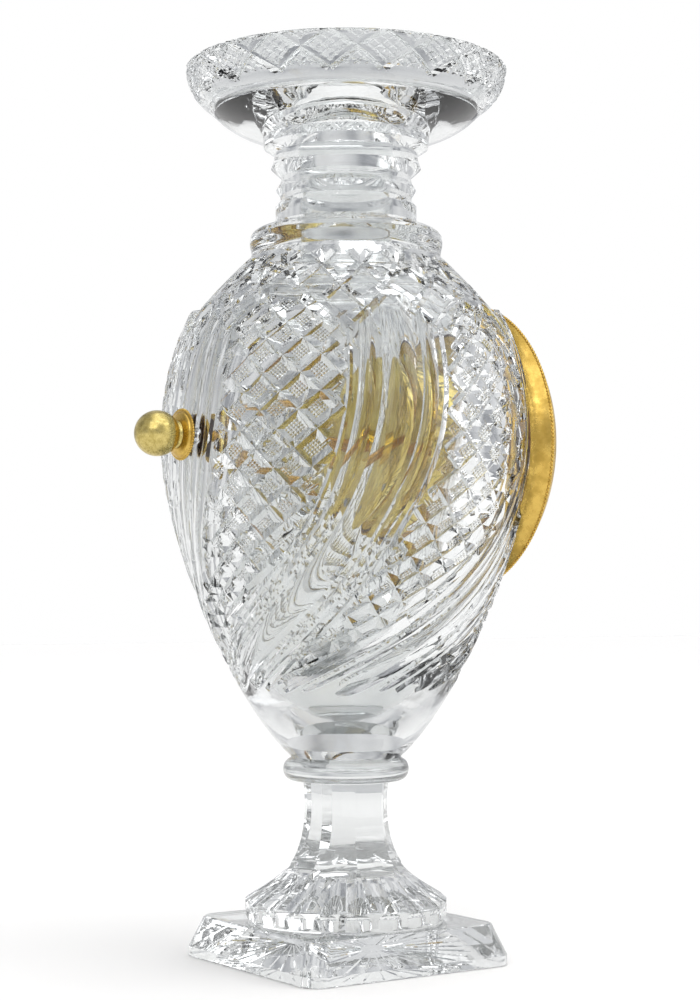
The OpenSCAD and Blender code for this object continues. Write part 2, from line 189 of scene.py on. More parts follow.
# %% Outline of the bowl, outside
SHOULDER = 291.0
belly_low_curve = curve([(24.5, BOWL_Z), (52, 115), (BELLY, 190), (BELLY, CLOCK_Z)], 18)
belly_high_curve = curve([(BELLY, CLOCK_Z), (BELLY, 255), (78, 275), (68.5, SHOULDER)], 11)
belly = belly_low_curve + belly_high_curve[1:]
shoulder = curve([(63.2, 292.6), (58, 299), (51, 306), (45.2, 311.6)], 8)
collar = curve([(43.2, 313.4), (41.6, 316), (44.6, 319), (43.2, 322.6)], 6)
torus = curve([(43.2, 323.2), (41.8, 326.4), (37, 327.4), (33, 328.4)], 6)
rings = [(31.8, 329.6), (31.9, 337.0), (29.5, 339.6), (29.8, 341.6), (31.6, 344.6), (29.8, 347.6),
         (29.3, 350.4), (33.9, 354.6), (32.6, 358.2), (32.4, 361.0), (37.2, 364.2), (37.6, 368.0)]
dish = curve([(38.6, 368.4), (50, 371.4), (56, 375.6), (59.6, 379.2)], 8)
groove = [(59.2, 380.2), (60.4, 381.2), (62.4, 381.8)]
dish_side = curve([(63.4, 382.6), (69.4, 386.6), (72.2, 392), (72.7, TOP - 0.9)], 6)
outside = [(0, BOWL_Z)] + belly + shoulder + collar + torus + rings + dish + groove + dish_side

# %% Outline of the bowl, inside
WALL = 6.5
NECK_BORE = 21.0
inner = BELLY - WALL
inside = ([(71.8, TOP), (69.2, TOP)]
          + curve([(68.5, TOP - 0.6), (66, 385), (50, 378), (NECK_BORE + 1.5, 375.4)], 12)
          + [(NECK_BORE, 374)]
          + curve([(NECK_BORE, 318), (23, 312), (40, 306), (50, 297)], 8)
          + curve([(50, 297), (64, 286), (inner, 262), (inner, CLOCK_Z)], 12)[1:]
          + curve([(inner, CLOCK_Z), (inner, 180), (44, 120), (18, 106)], 16)[1:]
          + [(0, 105.4)])
bowl = lathe("bowl_crystal", outside + inside, steps=100)
print("blank:", len(bowl.data.vertices), "points")

# %% [markdown]
# ## Marking out
#
# Paths are drawn in two numbers: the turn round the vase, in radians, and the height. A table of
# the belly's outline gives the radius and the slope at each height. The climb is the distance up
# the outline divided by the radius, so that equal steps of turn and climb stay square wherever the
# body narrows. The flutes run straight down from the shoulder and then lean over, evenly, until
# they lie 60 degrees over at the foot of the belly: adding up the lean gives their twist.

# %% Tables of the belly
def along(table, z, column):
    """Reads one column of a table of rows (height, ...) at height z."""
    for a, b in zip(table, table[1:]):
        if z <= b[0]:
            t = (z - a[0]) / (b[0] - a[0])
            return a[column] + t * (b[column] - a[column])
    return table[-1][column]


TWIST_FROM = 254.0
TWIST_TO = 119.0
FULL_LEAN = math.radians(60)


def lean_at(z):
    return FULL_LEAN * max(0.0, min(1.0, (TWIST_FROM - z) / (TWIST_FROM - TWIST_TO)))


marks = []
climb = 0.0
last = None
for r, z in belly:
    if last:
        climb += math.hypot(r - last[0], z - last[1]) / ((r + last[0]) / 2)
    marks.append([z, r, climb, 0.0])
    last = (r, z)
for i in range(len(marks) - 2, -1, -1):
    lean = lean_at(marks[i][0])
    marks[i][3] = marks[i + 1][3] - math.tan(lean) * (marks[i + 1][2] - marks[i][2])
climb_at_clock = along(marks, CLOCK_Z, 2)
print("whole twist:", round(math.degrees(marks[0][3])), "degrees")


def radius(z):
    return along(marks, z, 1)


def rise(z):
    return along(marks, z, 2) - climb_at_clock


def twist(z):
    return along(marks, z, 3)


def on_belly(turn, z):
    """A point on the belly and the direction that stands out from it, in mm."""
    r = radius(z)
    above = min(z + 1, SHOULDER)
    slope = (radius(above) - radius(z - 1)) / (above - z + 1)
    out = Vector((math.cos(turn), math.sin(turn), -slope)).normalized()
    return Vector((r * math.cos(turn), r * math.sin(turn), z)), out


# %% [markdown]
# ## Wheels
#
# A wheel's edge is an outline across the cut: (sideways, height above the glass). The V wheel is a
# triangle whose point is at the depth of the cut. The round wheel is an arc. run_wheel sweeps the
# edge along a path, and gives the solid that the wheel would grind away.

# %% Wheel edges and the sweep
def v_edge(depth, half_width, above=1.6):
    """A mitre wheel that cuts to this depth and this half width at the glass."""
    reach = half_width * (depth + above) / depth
    return [(-reach, above), (0, -depth), (reach, above)]


def round_edge(depth, half_width, above=1.8, parts=8):
    """A round wheel, as an arc through the depth and the two edges of the flute."""
    r = (half_width ** 2 + depth ** 2) / (2 * depth)
    side = math.asin(min(1.0, half_width / r))
    arc = [(r * math.sin(side * (2 * i / parts - 1)),
            r - depth - r * math.cos(side * (2 * i / parts - 1))) for i in range(parts + 1)]
    return [(arc[0][0] - 0.4, above)] + arc + [(arc[-1][0] + 0.4, above)]


def run_wheel(runs):
    """One cutter from many runs. A run is a list of (point, outward, edge) along the path."""
    verts, faces = [], []
    for run in runs:
        first = len(verts)
        n = len(run[0][2])
        for i, (point, out, edge) in enumerate(run):
            ahead = run[min(i + 1, len(run) - 1)][0] - run[max(i - 1, 0)][0]
            across = ahead.cross(out).normalized()
            for a, h in edge:
                verts.append((point + across * a + out * h) * MM)
        for i in range(len(run) - 1):
            for k in range(n):
                a, b = first + i * n + k, first + i * n + (k + 1) % n
                faces.append((a, b, b + n, a + n))
        faces.append(tuple(range(first, first + n)))
        end = first + (len(run) - 1) * n
        faces.append(tuple(range(end + n - 1, end - 1, -1)))
    return solid("cutter", verts, faces)


# %% [markdown]
# ## The stepped shoulder
#
# The cut zone doesn't end in a plain circle. Each of the five groups of flutes and each of the five
# panels of diamonds stands under its own arch, and above the arches the glass is ground back to a
# plain shoulder. The ground part is one ring-shaped cutter whose lower edge follows the arches.

# %% Grind the shoulder back above the arches
GROUPS = 5
FIFTH = 2 * math.pi / GROUPS
KNOB_TURN = math.pi / 2
GROUP_HALF = [(119.0, math.radians(28)), (125.0, math.radians(25)), (133.0, math.radians(22)),
              (150.0, math.radians(18.5)), (170.0, math.radians(15.5)), (190.0, math.radians(13)),
              (SHOULDER, math.radians(13))]
SET_BACK = 3.6
CUSP_DROP = 18.0
ARCH_STEPS = 180


def half_group(z):
    return along(GROUP_HALF, z, 1)


def arch(turn):
    """Height of the cut zone's edge at this turn."""
    offset = (turn - KNOB_TURN) % FIFTH
    offset = min(offset, FIFTH - offset)
    half = half_group(SHOULDER)
    share = offset / half if offset < half else (FIFTH / 2 - offset) / (FIFTH / 2 - half)
    return SHOULDER - CUSP_DROP * share ** 2


def arch_ring():
    rows = 6
    n = rows + 3
    verts, faces = [], []
    for i in range(ARCH_STEPS):
        turn = 2 * math.pi * i / ARCH_STEPS
        low = arch(turn)
        heights = [low + (SHOULDER - low) * k / rows for k in range(rows)]
        section = [(radius(z) - SET_BACK, z) for z in heights]
        section += [(63.0, 292.9), (80, 294), (radius(low) + 3, low - 1.0)]
        for r, z in section:
            verts.append(Vector((r * math.cos(turn), r * math.sin(turn), z)) * MM)
        for k in range(n):
            here, there = i * n, (i + 1) % ARCH_STEPS * n
            faces.append((here + k, here + (k + 1) % n, there + (k + 1) % n, there + k))
    return solid("cutter", verts, faces)


carve(bowl, arch_ring())
print("arches:", len(bowl.data.polygons), "faces")

# %% [markdown]
# ## Five groups of three flutes
#
# One group is centred behind the clock, where the rod comes out, and the others follow at a fifth
# of a turn. A group is 26 degrees wide at the shoulder and widens as it lies over. The middle
# flute takes half of the width and reaches higher than the two beside it, and the wheel leaves the
# glass in a rounded end.

# %% Cut the flutes
FLUTE_FOOT = 119.0
FLUTE_DEPTH = 2.3
RIDGE = 1.8
BAND = 2.6
MIDDLE_SHARE = 0.5


def flute_run(group_turn, side, top):
    """The path of one flute; side is -1, 0 or 1 for the left, middle or right one."""
    run = []
    steps = 42
    share = MIDDLE_SHARE if side == 0 else (1 - MIDDLE_SHARE) / 2
    offset = side * (MIDDLE_SHARE + (1 - MIDDLE_SHARE) / 2)
    for i in range(steps + 1):
        z = FLUTE_FOOT + (top - FLUTE_FOOT) * i / steps
        half = half_group(z)
        point, out = on_belly(group_turn + twist(z) + offset * half, z)
        width = 2 * half * share * radius(z) * math.cos(lean_at(z)) - RIDGE
        end = max(0.0, (z - top + 7) / 7)
        start = max(0.0, (FLUTE_FOOT + 6 - z) / 6)
        lift = 3.2 * max(end, start) ** 2
        depth = FLUTE_DEPTH if side == 0 else FLUTE_DEPTH * 0.65
        run.append((point + out * lift, out, round_edge(depth, width / 2, above=3.4, parts=6)))
    return run


runs = []
for g in range(GROUPS):
    turn = KNOB_TURN + g * FIFTH
    runs += [flute_run(turn, -1, 285), flute_run(turn, 0, 293), flute_run(turn, 1, 285)]
carve(bowl, run_wheel(runs))
print("flutes:", len(runs), "->", len(bowl.data.polygons), "faces")

# %% [markdown]
# ## Five panels of diamonds
#
# Between the groups, two sets of mitre cuts cross and leave diamonds about 18 mm wide and 16 mm
# high. Their flat tops are then cross-hatched with four fine cuts each way, which the trade calls
# strawberry diamonds. The lattice turns half as far as the flutes do, so its lines are found in
# the flutes' frame: a line is kept where it is inside the panel's borders and under its arch.

# %% Panel borders and lattice lines
DIAMOND_W = 18.2
DIAMOND_H = 16.4
PITCH = DIAMOND_W / BELLY
SLANT = DIAMOND_W / DIAMOND_H
LATTICE_TWIST = 0.5
PANEL_FOOT = 124.0
MITRE_DEPTH = 2.9
MITRE_HALF = 3.2


def lattice_runs(panel_turn, direction, shifts, edge, clip, steps=36):
    """The runs of one set of lattice lines over one panel."""
    runs = []
    for shift in shifts:
        run = []
        for i in range(steps + 1):
            z = PANEL_FOOT + (SHOULDER - PANEL_FOOT) * i / steps
            turn = shift + direction * SLANT * rise(z) + LATTICE_TWIST * twist(z)
            offset = turn - twist(z)
            room = FIFTH / 2 - half_group(z) - clip / radius(z)
            if abs(offset) < room and z < arch(panel_turn + offset) - clip / 2:
                point, out = on_belly(panel_turn + turn, z)
                run.append((point, out, edge))
            elif run:
                if len(run) > 1:
                    runs.append(run)
                run = []
        if len(run) > 1:
            runs.append(run)
    return runs


def panel_cut(direction, shifts, edge, clip, steps=36):
    runs = []
    for g in range(GROUPS):
        turn = KNOB_TURN + (g + 0.5) * FIFTH
        runs += lattice_runs(turn, direction, shifts, edge, clip, steps)
    carve(bowl, run_wheel(runs))
    print("lattice cut:", len(runs), "runs ->", len(bowl.data.polygons), "faces")


# %% Cut the diamonds
SPREAD = 16
mitres = [i * PITCH for i in range(-SPREAD, SPREAD + 1)]
for direction in (1, -1):
    panel_cut(direction, mitres, v_edge(MITRE_DEPTH, MITRE_HALF), clip=BAND + 1.4)

# %% Hatch their flat tops
HATCH_LINES = 4
TOP_SHARE = 0.46
HATCH_DEPTH = 0.42
HATCH_HALF = 0.55
hatch = [m + PITCH * (0.5 + TOP_SHARE * ((k + 0.5) / HATCH_LINES - 0.5))
         for m in mitres for k in range(HATCH_LINES)]
for direction in (1, -1):
    panel_cut(direction, hatch, v_edge(HATCH_DEPTH, HATCH_HALF, above=0.5), clip=BAND + 2.4, steps=28)

# %% [markdown]
# A fine mitre closes each panel along its border, and leaves a flat clear band between the diamonds
# and the outer flute.

# %% Mitre along each border
def border_run(turn, side):
    run = []
    steps = 48
    low, high = PANEL_FOOT - 3, SHOULDER - CUSP_DROP + 1
    for i in range(steps + 1):
        z = low + (high - low) * i / steps
        edge_turn = turn + twist(z) + side * (half_group(z) + BAND / radius(z))
        point, out = on_belly(edge_turn, z)
        run.append((point, out, v_edge(1.3, 1.3)))
    return run


carve(bowl, run_wheel([border_run(KNOB_TURN + g * FIFTH, s) for g in range(GROUPS) for s in (-1, 1)]))
print("borders cut:", len(bowl.data.polygons), "faces")

# %% [markdown]
# ## Mitres on the shoulder and diamonds on the dish
#
# On the plain shoulder twenty long mitres lean each way and cross. The side of the dish carries one
# row of eighteen diamonds, with half diamonds above and below, all of them hatched. Both are bands
# round the vase, so one function runs slanting cuts over an outline.

# %% Bands of slanting cuts
def outline_point(table, turn, z):
    """A point and its outward direction on an outline given as rows of (height, radius)."""
    r = along(table, z, 1)
    step = 0.6
    slope = (along(table, z + step, 1) - along(table, z - step, 1)) / (2 * step)
    out = Vector((math.cos(turn), math.sin(turn), -slope)).normalized()
    return Vector((r * math.cos(turn), r * math.sin(turn), z)), out


def band_cut(table, low, high, count, pitches, edge, keep=None, shifts=(0.0,), steps=9):
    """Cuts count lines each way over a band; each line crosses so many pitches on its way up."""
    pitch = 2 * math.pi / count
    for direction in (1, -1):
        runs = []
        for k in [k + shift for k in range(count) for shift in shifts]:
            run = []
            for i in range(steps + 1):
                z = low + (high - low) * i / steps
                turn = KNOB_TURN + (k + direction * pitches * (i / steps - 0.5)) * pitch
                if keep is None or keep(turn, z):
                    run.append((*outline_point(table, turn, z), edge))
            if len(run) > 1:
                runs.append(run)
        carve(bowl, run_wheel(runs))


plain = [(z, radius(z) - SET_BACK) for z in (270, 276, 282, 287, SHOULDER)]
plain += [(z, r) for r, z in shoulder]
band_cut(plain, 277, 310.5, 20, 1.6, v_edge(1.5, 2.4), lambda turn, z: z > arch(turn) + 1.0, steps=26)
print("shoulder cut:", len(bowl.data.polygons), "faces")

# %% Diamonds and hatching on the dish
DISH_DIAMONDS = 18
DISH_HATCH = 4
side_table = [(z, r) for r, z in dish_side] + [(TOP + 3, 72.7)]
band_cut(side_table, 384.6, TOP + 1.2, DISH_DIAMONDS, 1.0, v_edge(1.7, 2.1), steps=6)
dish_hatch = [0.18 + 0.64 * k / (DISH_HATCH - 1) for k in range(DISH_HATCH)]
band_cut(side_table, 386.0, TOP + 1.2, DISH_DIAMONDS, 0.92, v_edge(0.34, 0.5, above=0.6),
         shifts=dish_hatch, steps=3)
print("dish cut:", len(bowl.data.polygons), "faces")

# %% [markdown]
# ## Holes for the clock
#
# The front of the belly has a drilled hole with a ground countersink, where the bezel's gasket
# seats, and the back has a small hole for the rod. The cutters are turned about the clock's axis.

# %% Bore the holes
HOLE_R = 58.0
SEAT_DEPTH = 56.0
SEAT_SLOPE = 0.914
CUT_R = BEZEL_R + 0.8
cone_top = SEAT_DEPTH + (CUT_R - HOLE_R) * SEAT_SLOPE
front_bore = [(0, 20), (HOLE_R, 20), (HOLE_R, SEAT_DEPTH), (CUT_R, cone_top), (CUT_R, 110), (0, 110)]
carve(bowl, lathe("cutter", front_bore, steps=120, clock=True))
carve(bowl, lathe("cutter", [(0, -65), (3.5, -65), (3.5, -95), (0, -95)], steps=48, clock=True))
crease(bowl, 16)
triangles = sum(len(p.vertices) - 2 for p in bowl.data.polygons)
print("bowl:", triangles, "triangles")

# %% [markdown]
# ## Collar and foot
#
# The merese is a flat button of glass between bowl and stem. The foot is a pressed and cut piece: a
# square plinth, a dome with petals, and a stem ground to eight concave sides. Glass that is fused
# has no gap, so each piece runs a hair into the next one.

# %% Merese
FUSE = 0.05
merese = lathe("merese_collar", [(0, MERESE_Z - FUSE), (20.5, MERESE_Z - FUSE)]
               + curve([(24, MERESE_Z + 0.6), (29.2, MERESE_Z + 1.6), (29.2, BOWL_Z - 2.6),
                        (25.6, BOWL_Z - 0.8)], 16)
               + [(24.2, BOWL_Z + FUSE), (0, BOWL_Z + FUSE)], steps=96)
crease(merese, 30)
print("merese:", len(merese.data.polygons), "faces")

# %% Plinth: a block, drawn in towards the top, with rounded corners
PLINTH_TOP = 18.0
PLINTH_EDGE = 4.5
TAPER = 5.0


def pick(obj, test):
    """Selects in edit mode the vertices that pass a test of their place in mm."""
    bpy.ops.mesh.select_all(action="DESELECT")
    bpy.ops.object.mode_set(mode="OBJECT")
    for v in obj.data.vertices:
        v.select = test(v.co / MM)
    bpy.ops.object.mode_set(mode="EDIT")


bpy.ops.mesh.primitive_cube_add(size=2 * HALF_PLINTH * MM, location=(0, 0, 0))
foot = bpy.context.object
foot.name = "foot_crystal"
bpy.ops.object.mode_set(mode="EDIT")
bpy.ops.mesh.select_mode(type="VERT")
pick(foot, lambda c: c.z > 0)
bpy.ops.transform.translate(value=(0, 0, (PLINTH_TOP - HALF_PLINTH) * MM))
pick(foot, lambda c: c.z < 0)
bpy.ops.transform.translate(value=(0, 0, HALF_PLINTH * MM))
bpy.ops.mesh.select_all(action="SELECT")
bpy.ops.mesh.bisect(plane_co=(0, 0, PLINTH_EDGE * MM), plane_no=(0, 0, 1))
narrow = (HALF_PLINTH - TAPER) / HALF_PLINTH
pick(foot, lambda c: c.z > PLINTH_TOP - 0.1)
bpy.ops.transform.resize(value=(narrow, narrow, 1))
bpy.ops.object.mode_set(mode="OBJECT")
upright = foot.data.attributes.new("bevel_weight_edge", "FLOAT", "EDGE")
for edge in foot.data.edges:
    a, b = (foot.data.vertices[i].co / MM for i in edge.vertices)
    upright.data[edge.index].value = 1.0 if abs(a.z - b.z) > 2 else 0.0
only(foot)
for width, segments, limit in ((8.5, 6, "WEIGHT"), (0.5, 1, "ANGLE")):
    bevel = foot.modifiers.new("bevel", "BEVEL")
    bevel.width = width * MM
    bevel.segments = segments
    bevel.limit_method = limit
    bevel.angle_limit = math.radians(40)
    bpy.ops.object.modifier_apply(modifier=bevel.name)
print("plinth:", len(foot.data.polygons), "faces")

# %% Dome and eight-sided stem, joined to the plinth
DOME_R = 44.8
dome_slope = curve([(DOME_R - 0.6, 28.0), (40, 31.0), (34, 33.5), (27.5, 39.5)], 10)
dome_wall = [(DOME_R - 1.4, 16), (DOME_R - 1.4, 18.6), (DOME_R, 20), (DOME_R, 27.4)]
dome = lathe("dome", [(0, 16)] + dome_wall + dome_slope + [(0, 39.5)], steps=144)
carve(foot, dome, "UNION")
stem_outline = curve([(31, 37), (18.3, 46), (17.8, 66), (19.4, MERESE_Z + FUSE)], 18)
stem = lathe("stem", [(0, 37)] + stem_outline + [(0, MERESE_Z + FUSE)], steps=8)
bpy.ops.object.mode_set(mode="EDIT")
bpy.ops.mesh.select_all(action="SELECT")
bpy.ops.transform.rotate(value=math.radians(22.5), orient_axis="Z", center_override=(0, 0, 0))
bpy.ops.object.mode_set(mode="OBJECT")
carve(foot, stem, "UNION")

# %% Petals round the dome and its wall, and a star under the plinth
PETALS = 20
RAYS = 32


def around(count, path):
    """The same run at every place round the axis; path gives (radius, height, out, edge) rows."""
    runs = []
    for k in range(count):
        turn = 2 * math.pi * (k + 0.5) / count
        run = []
        for r, z, (out_r, out_z), edge in path:
            out = Vector((out_r * math.cos(turn), out_r * math.sin(turn), out_z)).normalized()
            run.append((Vector((r * math.cos(turn), r * math.sin(turn), z)), out, edge))
        runs.append(run)
    return run_wheel(runs)


half_petal = math.sin(math.pi / PETALS) * 0.94
petal_path = [(r, z + 0.2, (0.62, 1.0), round_edge(1.5 * r / DOME_R, r * half_petal, above=1.5, parts=6))
              for r, z in [(47.5, 25.6)] + dome_slope + [(25.0, 42.5)]]
carve(foot, around(PETALS, petal_path))
wall_edge = round_edge(1.2, DOME_R * half_petal, above=1.2, parts=6)
wall_path = [(DOME_R + lift, z, (1.0, 0.0), wall_edge)
             for z, lift in ((18.05, 0.0), (20, 0.0), (23, 0.0), (25, 0.3), (26.4, 1.3))]
carve(foot, around(PETALS, wall_path))
star_path = [(r, 0.0, (0.0, -1.0), v_edge(0.2 + 0.2 * share, 0.3 + 0.4 * share, above=0.4))
             for r, share in ((6, 0.0), (20, 0.4), (34, 0.8), (44, 1.0), (48.5, 0.5))]
carve(foot, around(RAYS, star_path))
crease(foot, 20)
print("foot:", sum(len(p.vertices) - 2 for p in foot.data.polygons), "triangles")

# %% [markdown]
# ## The gilt mountings
#
# The bezel is a brass casting, turned and gilded: a cove behind, where it flares over the glass, and
# a row of fine beads along its edge. Beads come from a milling wheel rolled round the edge, so one
# small ball is modelled and copied at an even step.

# %% Rows of beads
def beads(name, count, ring_r, bead_r, depth):
    """A ring of small balls about the clock's axis, at this depth towards the viewer."""
    bpy.ops.mesh.primitive_ico_sphere_add(subdivisions=2, radius=bead_r * MM, location=(0, 0, 0))
    one = bpy.context.object
    verts, faces = [], []
    for k in range(count):
        turn = 2 * math.pi * k / count
        centre = Vector((ring_r * math.cos(turn), -depth, CLOCK_Z + ring_r * math.sin(turn))) * MM
        first = len(verts)
        verts += [v.co + centre for v in one.data.vertices]
        faces += [tuple(first + i for i in p.vertices) for p in one.data.polygons]
    bpy.data.objects.remove(one)
    obj = solid(name, verts, faces)
    bpy.ops.object.shade_smooth()
    return obj


def join(obj, *others):
    """Joins other objects into obj."""
    only(obj)
    for other in others:
        other.select_set(True)
    bpy.ops.object.join()
    return obj


# %% Bezel
def seat(r, lift):
    """Depth of the bezel's back at radius r, this far off the glass."""
    return SEAT_DEPTH + (r - HOLE_R) * SEAT_SLOPE + lift


BORE = DIAL_R + 0.6
GASKET_R = 59.6
gasket = lathe("bezel_gasket_leather", [(58.2, seat(58.2, 0.08)), (GASKET_R, seat(GASKET_R, 0.08)),
                                        (GASKET_R, seat(GASKET_R, 0.84)), (58.2, seat(58.2, 0.84))],
               192, clock=True, closed=True)
crease(gasket, 30)
bezel_back = [(44.5, 55.5), (57.3, 55.5), (57.3, seat(57.3, 0.92)), (59.5, seat(59.5, 0.92)),
              (61.2, seat(61.2, 0.92)), (61.4, seat(61.4, 0.3)), (63.2, seat(63.2, 0.1)),
              (64.6, seat(64.6, 0.5))]
bezel_edge = [(65.6, 64.0), (66.2, 64.8), (66.2, 66.6), (65.6, 67.3)]
bezel_front = [(64.8, BEZEL_FRONT), (63.9, BEZEL_FRONT), (63.5, 67.4), (62.8, BEZEL_FRONT - 0.05),
               (BORE + 0.4, BEZEL_FRONT - 0.05), (BORE, 67.3), (BORE, 58), (44.5, 58)]
bezel = lathe("bezel_gilt", bezel_back + bezel_edge + bezel_front, 192, clock=True, closed=True)
crease(bezel, 30)
join(bezel, beads("bead", 240, 66.2, 0.82, 65.7), beads("bead", 150, 64.3, 0.75, 67.5))
print("bezel:", len(bezel.data.polygons), "faces")

# %% Door ring and clock glass
DOOR = BEZEL_FRONT + 0.3
door_outline = ([(56, DOOR), (62.2, DOOR), (62.8, DOOR + 0.5), (62.9, DOOR + 1.6)]
                + curve([(62.4, DOOR + 2.2), (60.4, DOOR + 2.3), (61.4, DOOR + 4.8), (58.6, DOOR + 5.2)], 8)
                + curve([(57.6, DOOR + 5.8), (55.6, DOOR + 6), (54.4, DOOR + 5.6), (53.4, DOOR + 4.4)], 6)
                + [(53.4, DOOR + 3.8), (56, DOOR + 3.8)])
door = lathe("door_ring_gilt", door_outline, 192, clock=True, closed=True)
crease(door, 30)
glass_outline = [(0, DOOR + 1.7), (55.3, DOOR + 1.7), (55.9, DOOR + 2.2), (55.9, DOOR + 3.2),
                 (54.9, DOOR + 3.75), (53, DOOR + 3.8), (0, DOOR + 3.8)]
pane = lathe("clock_glass", glass_outline, 128, clock=True)
crease(pane, 30)

# %% Drum, spun from sheet and polished
FLANGE_R = (drum_high.x - drum_low.x) / 2 / MM
FLANGE_FRONT = -drum_low.y / MM
FLANGE_THICK = 1.5
DRUM_WALL = 1.2
DRUM_R = 42.0
flange_back = FLANGE_FRONT - FLANGE_THICK
drum = lathe("drum_gilt", [(DRUM_R - DRUM_WALL, 18), (DRUM_R - 0.3, 18), (DRUM_R, 18.3), (DRUM_R, 51.6),
                           (DRUM_R + 0.8, flange_back), (FLANGE_R - 0.3, flange_back),
                           (FLANGE_R, flange_back + 0.3), (FLANGE_R, FLANGE_FRONT),
                           (DRUM_R - DRUM_WALL, FLANGE_FRONT)], 192, clock=True, closed=True)
crease(drum, 30)
print("drum:", round(FLANGE_R, 1), "mm radius over its flange")

# %% Beaded washer and ball nut at the back
washer_low, washer_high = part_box("rosette_washer")
ball_low, ball_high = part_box("ball_nut")
FACE = -washer_low.y / MM
WASHER_R = (washer_high.x - washer_low.x) / 2 / MM
BALL_R = 9.8
BALL_D = -(ball_high.y / MM) + BALL_R
NUT_FACE = -ball_low.y / MM
ROD_BORE = 2.55
washer = lathe("washer_beaded", [(ROD_BORE, FACE), (WASHER_R - 1.1, FACE), (WASHER_R - 0.6, FACE - 0.4),
                                 (WASHER_R - 0.7, FACE - 1.1)]
               + curve([(WASHER_R - 1.5, FACE - 1.5), (9.4, FACE - 2.7), (7.4, FACE - 2.6),
                        (6.3, FACE - 3.2)], 10)
               + [(ROD_BORE, FACE - 3.2)], 96, clock=True, closed=True)
crease(washer, 30)
join(washer, beads("bead", 56, WASHER_R - 0.62, 0.62, FACE - 0.72))
print("washer:", len(washer.data.polygons), "faces, radius", round(WASHER_R, 1))

# %% Ball nut
BORE_END = -100.5
ball_arc = []
NECK_R = 5.4
start = math.asin(NECK_R / BALL_R)
for i in range(25):
    angle = start + (math.pi - start) * i / 24
    ball_arc.append((BALL_R * math.sin(angle), BALL_D + BALL_R * math.cos(angle)))
neck = curve([(5.9, NUT_FACE), (5.9, NUT_FACE - 0.35), (5.3, NUT_FACE - 0.6), ball_arc[0]], 6)
ball_outline = ([(0, BORE_END), (ROD_BORE, BORE_END), (ROD_BORE, NUT_FACE)] + neck + ball_arc[1:-1]
                + [(0, BALL_D - BALL_R)])
ball = lathe("ball_nut_gilt", ball_outline, 96, clock=True)
crease(ball, 40)
print("ball:", round(BALL_R, 1), "mm, centre at depth", round(BALL_D, 1))

# %% [markdown]
# ## Dial and hands
#
# The dial is white vitreous enamel on copper. The numerals and the minute track are painted in
# black enamel and fired, so they stand on the glaze by a few hundredths of a millimetre. Each Roman
# numeral is built from the strokes of I, V and X, each stroke a thin slab.

# %% Enamel dial
DIAL_BACK = DIAL_FRONT - 1.5
POST_HOLE = 4.2
WINDING_AT = -20.5
dial = lathe("dial_enamel", [(POST_HOLE, DIAL_BACK), (DIAL_R - 0.2, DIAL_BACK), (DIAL_R, DIAL_BACK + 0.4),
                             (DIAL_R, DIAL_FRONT - 0.5), (DIAL_R - 0.6, DIAL_FRONT - 0.08),
                             (DIAL_R - 2, DIAL_FRONT), (POST_HOLE + 0.5, DIAL_FRONT),
                             (POST_HOLE, DIAL_FRONT - 0.4)], 160, clock=True, closed=True)
bpy.ops.mesh.primitive_cylinder_add(vertices=64, radius=4 * MM, depth=20 * MM, rotation=(math.pi / 2, 0, 0),
                                    location=(0, -DIAL_FRONT * MM, (CLOCK_Z + WINDING_AT) * MM))
punch = bpy.context.object
bpy.ops.object.transform_apply(location=True, rotation=True, scale=True)
carve(dial, punch)
crease(dial, 30)
bpy.ops.mesh.primitive_torus_add(major_radius=3.75 * MM, minor_radius=0.42 * MM, major_segments=64,
                                 minor_segments=12, rotation=(math.pi / 2, 0, 0),
                                 location=(0, -DIAL_FRONT * MM, (CLOCK_Z + WINDING_AT) * MM))
grommet = bpy.context.object
grommet.name = "winding_grommet"
bpy.ops.object.transform_apply(location=True, rotation=True, scale=True)
bpy.ops.object.shade_smooth()

# %% Strokes of the numerals
STROKES = {"I": (3.4, [(1.7, 1.7, 1.5)]),
           "V": (7.4, [(1.5, 3.7, 1.6), (5.9, 3.7, 0.5)]),
           "X": (7.4, [(1.5, 5.9, 1.6), (5.9, 1.5, 0.5)])}
HOURS = ("XII", "I", "II", "III", "IIII", "V", "VI", "VII", "VIII", "IX", "X", "XI")
NUMERAL_H = 9.6
NUMERAL_R = 35.0
PRINT = 0.04


def slab(verts, faces, corners):
    """Adds a thin slab on the dial over four corners given in the dial's plane, in mm."""
    first = len(verts)
    for lift in (-0.05, PRINT):
        verts += [Vector((x, -DIAL_FRONT - lift, CLOCK_Z + y)) * MM for x, y in corners]
    faces += [tuple(first + i for i in f) for f in
              ((0, 1, 2, 3), (7, 6, 5, 4), (0, 4, 5, 1), (1, 5, 6, 2), (2, 6, 7, 3), (3, 7, 4, 0))]


def turned(corners, hour_angle, r):
    """Corners drawn upright about the middle, moved out to radius r and turned clockwise."""
    c, s = math.cos(hour_angle), math.sin(hour_angle)
    return [(x * c + (y + r) * s, -x * s + (y + r) * c) for x, y in corners]


verts, faces = [], []
for hour, text in enumerate(HOURS):
    angle = math.radians(30 * hour)
    width = sum(STROKES[letter][0] for letter in text)
    squeeze = min(1.0, 15.0 / width)
    x = -width / 2
    for letter in text:
        advance, strokes = STROKES[letter]
        for top, foot_x, thick in strokes:
            t = thick / 2
            shape = [(x + foot_x - t, 0), (x + foot_x + t, 0), (x + top + t, 1), (x + top - t, 1)]
            shape = [(a * squeeze, (b - 0.5) * NUMERAL_H) for a, b in shape]
            slab(verts, faces, turned(shape, angle, NUMERAL_R))
        x += advance
    for level in (-0.5, 0.5):
        half = (width / 2 - 0.3) * squeeze
        bar = [(-half, level * NUMERAL_H - 0.22), (half, level * NUMERAL_H - 0.22),
               (half, level * NUMERAL_H + 0.22), (-half, level * NUMERAL_H + 0.22)]
        slab(verts, faces, turned(bar, angle, NUMERAL_R))

